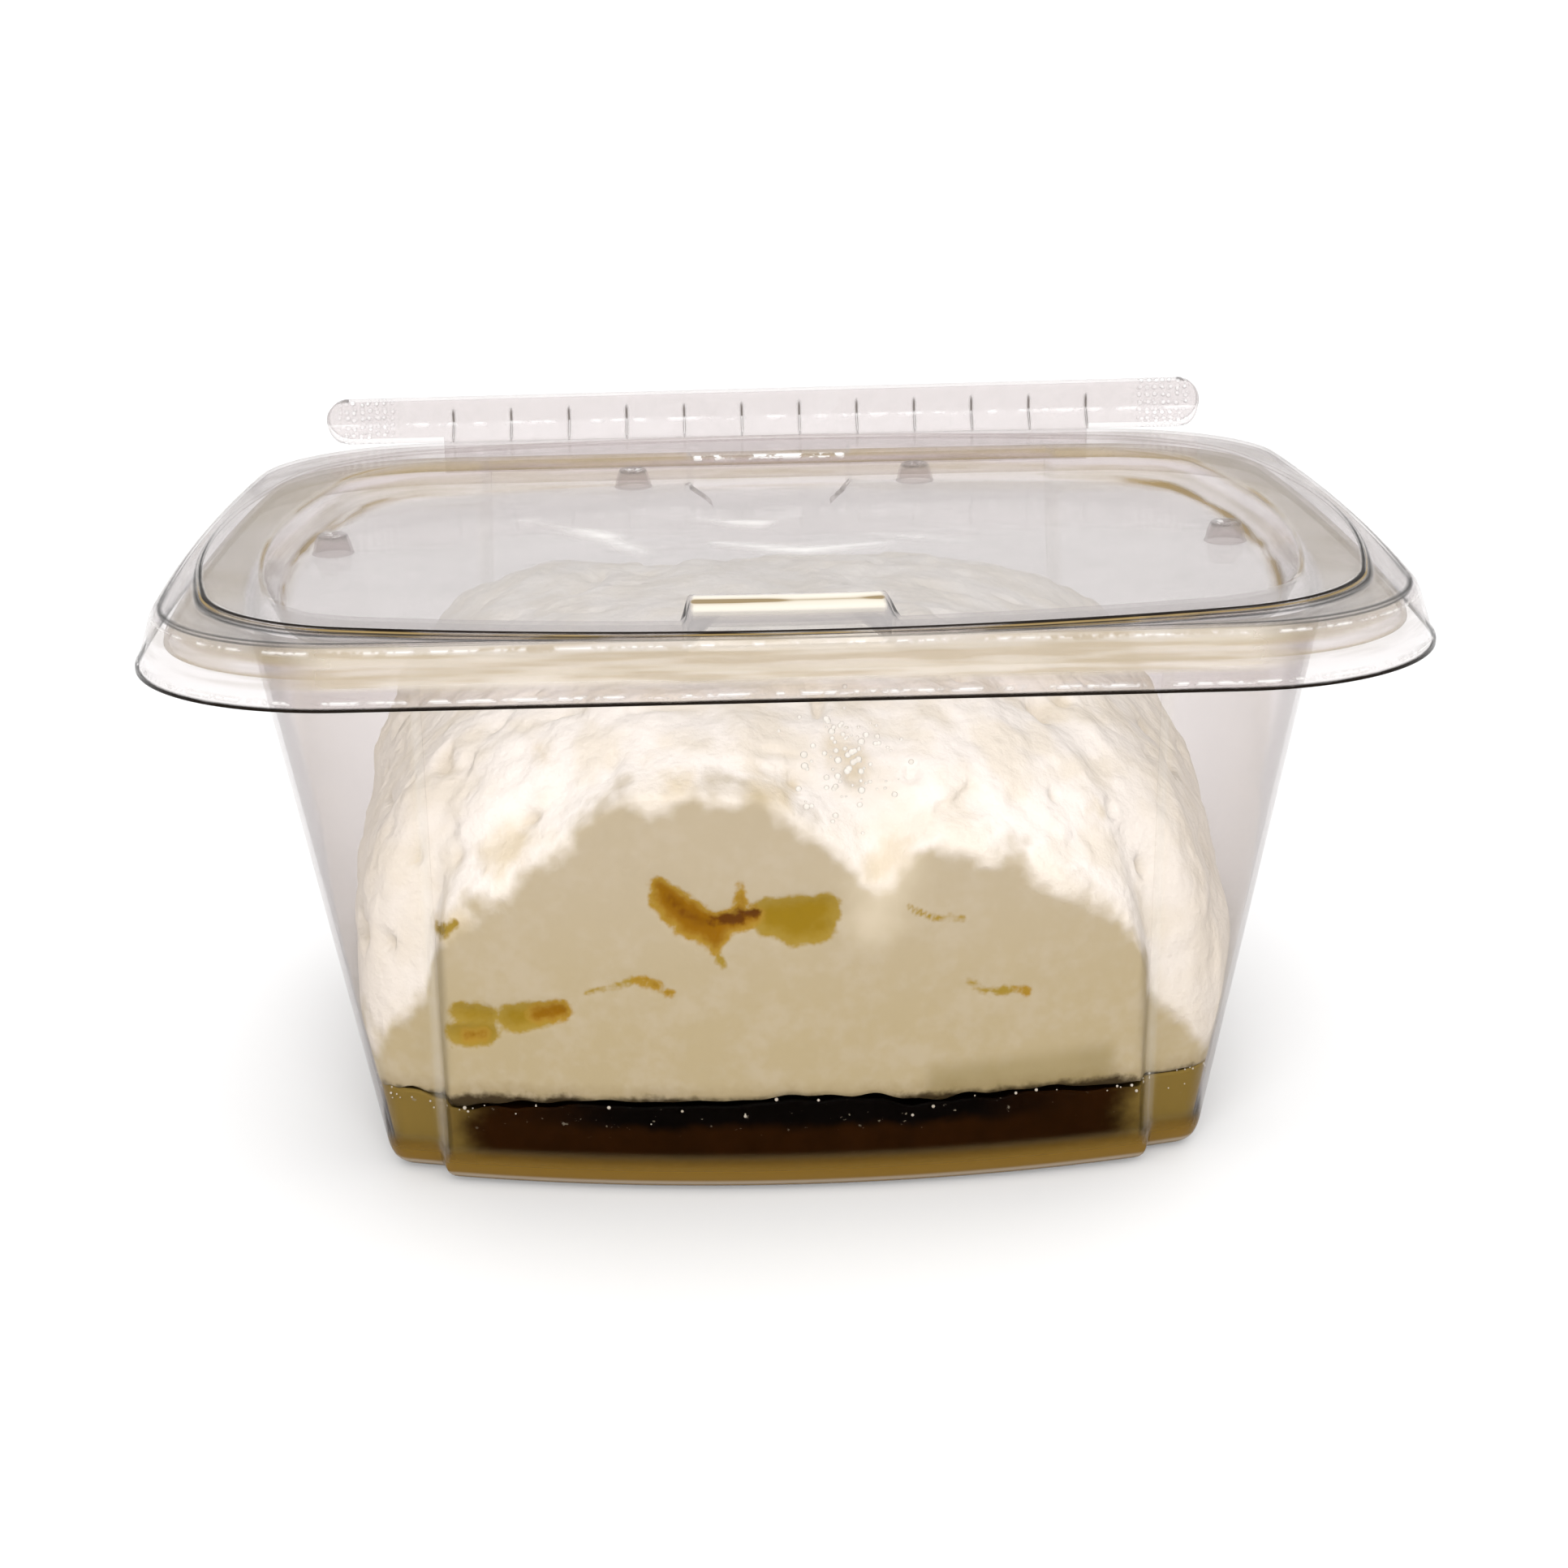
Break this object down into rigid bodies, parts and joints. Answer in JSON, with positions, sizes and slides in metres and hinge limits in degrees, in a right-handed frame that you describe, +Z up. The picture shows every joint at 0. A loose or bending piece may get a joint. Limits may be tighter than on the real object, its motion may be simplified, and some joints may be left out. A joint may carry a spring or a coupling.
{
  "type": "ricotta in a clear hinged plastic tub",
  "caption": "Uneven mound of ricotta over drained whey in a clear rectangular deli tub, its sunk-panel lid hinged on a tear-off strip.",
  "frame": {"origin": "middle of the tub's flat underside", "axes": "+Z up, +X to the right along the longer side, -Y towards the front; the hinge strip is at +Y"},
  "size_m": [0.15, 0.1294, 0.0783],
  "materials": {
    "tub_plastic": "clear formed sheet, glossy",
    "lid_plastic": "clear formed sheet, slightly hazy on the sunk panel",
    "strip_plastic": "clear formed sheet, dotted grips at both ends",
    "ricotta": "moist, soft and lumpy",
    "whey": "dark translucent liquid"
  },
  "bodies": {
    "base": {"tub": "tub_plastic", "ricotta": "ricotta", "whey": "whey"},
    "cover": {"lid": "lid_plastic", "tear_strip": "strip_plastic"}
  },
  "joints": [
    {"name": "lid_hinge", "type": "hinge", "parent": "base", "child": "cover", "pos_m": [0, 0.0655, 0.0646], "axis": [-1, 0, 0], "range_deg": [0, 180]}
  ]
}
